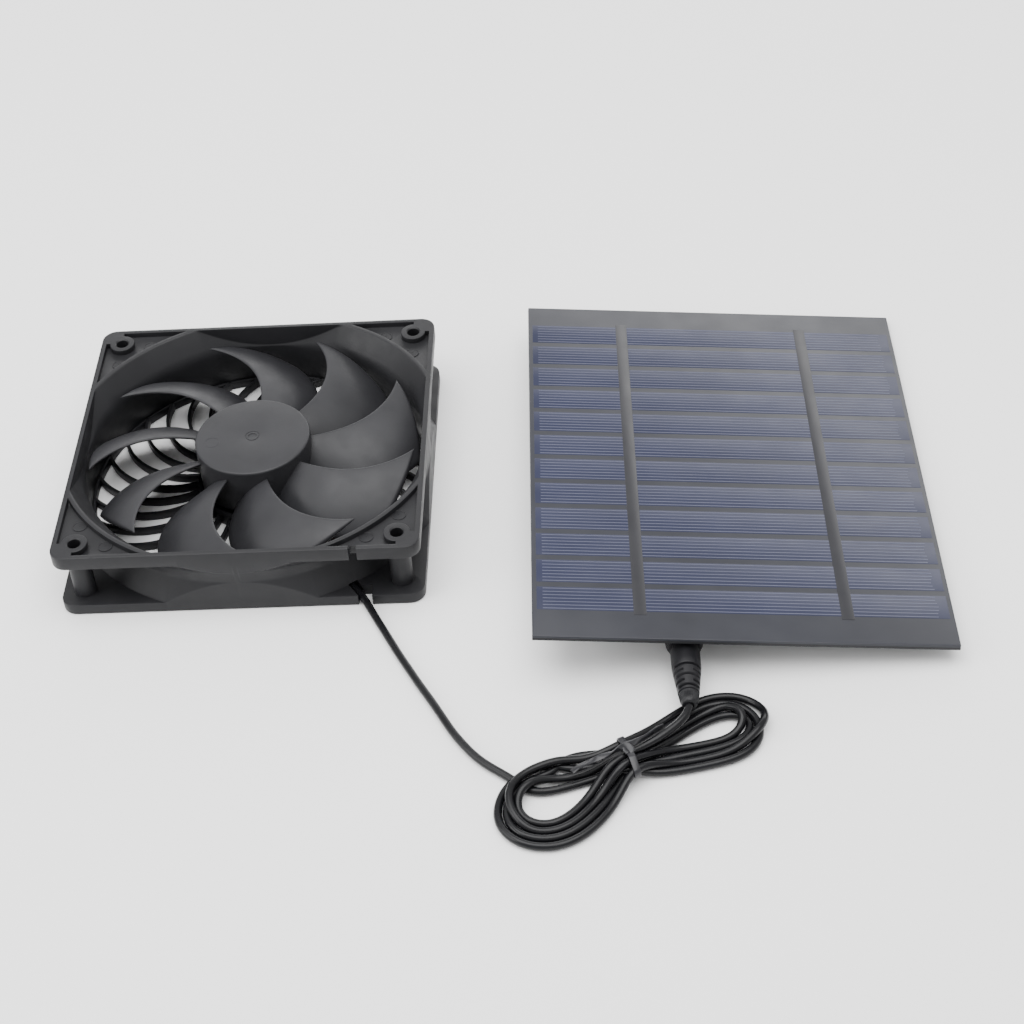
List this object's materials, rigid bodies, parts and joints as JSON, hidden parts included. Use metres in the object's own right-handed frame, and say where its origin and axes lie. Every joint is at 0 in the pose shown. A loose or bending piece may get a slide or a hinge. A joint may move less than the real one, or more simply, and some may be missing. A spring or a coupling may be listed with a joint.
{
  "type": "solar attic fan",
  "caption": "Flat solar panel with a junction box on its back, wired by a bundled low-voltage lead and plug to a square axial fan.",
  "frame": {"origin": "centre of the square of screw holes on the fan's exhaust face, on the rotor's axis", "axes": "+Z along the rotor's axis from the exhaust face to the intake face; +X towards the solar panel; +Y towards the panel's far edge"},
  "size_m": [0.2877, 0.2431, 0.025],
  "materials": {
    "fan_plastic": "moulded satin black",
    "rotor_plastic": "moulded satin charcoal",
    "label_paper": "blank satin label",
    "bronze": "turned",
    "white_nylon": "natural nylon",
    "core_steel": "stamped laminations",
    "copper_wire": "enamelled copper winding",
    "circuit_board": "solder-masked board",
    "chip_black": "moulded package",
    "red_insulation": "wire insulation",
    "black_insulation": "wire insulation",
    "ferrite": "sintered ferrite",
    "laminate": "clear-coated resin laminate",
    "silicon": "blue cell strips",
    "tape": "dark collector tape",
    "board": "glass-fibre backing board",
    "tin": "tinned copper",
    "box_plastic": "moulded matt black",
    "screw_steel": "zinc-plated",
    "plug_nickel": "nickel plate",
    "cord_pvc": "satin black PVC"
  },
  "bodies": {
    "root": {"fan_frame": "fan_plastic", "exhaust_vanes": "fan_plastic", "base_label": "label_paper", "bearing_tube": "bronze", "thrust_cap": "white_nylon", "sleeve_bearing": "bronze", "oil_seal": "white_nylon", "stator_core": "core_steel", "lower_bobbin": "white_nylon", "upper_bobbin": "white_nylon", "stator_coils": "copper_wire", "motor_board": "circuit_board", "driver_chip": "chip_black", "lead_positive": "red_insulation", "lead_negative": "black_insulation", "plug_body": "cord_pvc", "plug_barrel": "plug_nickel", "lead_cord": "cord_pvc", "cord_bundle": "cord_pvc", "plug_cord": "cord_pvc", "cord_tie": "cord_pvc"},
    "rotor": {"impeller": "rotor_plastic", "rotor_yoke": "core_steel", "ring_magnet": "ferrite", "shaft_bush": "bronze", "rotor_shaft": "core_steel", "retaining_clip": "white_nylon"},
    "panel": {"panel_laminate": "laminate", "solar_cells": "silicon", "busbar_tapes": "tape", "backing_board": "board", "solder_tabs": "tin", "junction_base": "box_plastic", "junction_cover": "box_plastic", "cover_screws": "screw_steel", "dc_socket": "box_plastic", "socket_pin": "bronze", "socket_spring": "bronze", "blocking_diode": "chip_black", "panel_wires": "black_insulation"}
  },
  "joints": [
    {"name": "rotor_spin", "type": "hinge", "parent": "root", "child": "rotor", "pos_m": [0, 0, 0.012], "axis": [0, 0, 1], "continuous": true},
    {"name": "plug_slide", "type": "slide", "parent": "root", "child": "panel", "axis": [-0.0205, 0.9993, -0.0313], "range_m": [0, 0.0095]}
  ]
}
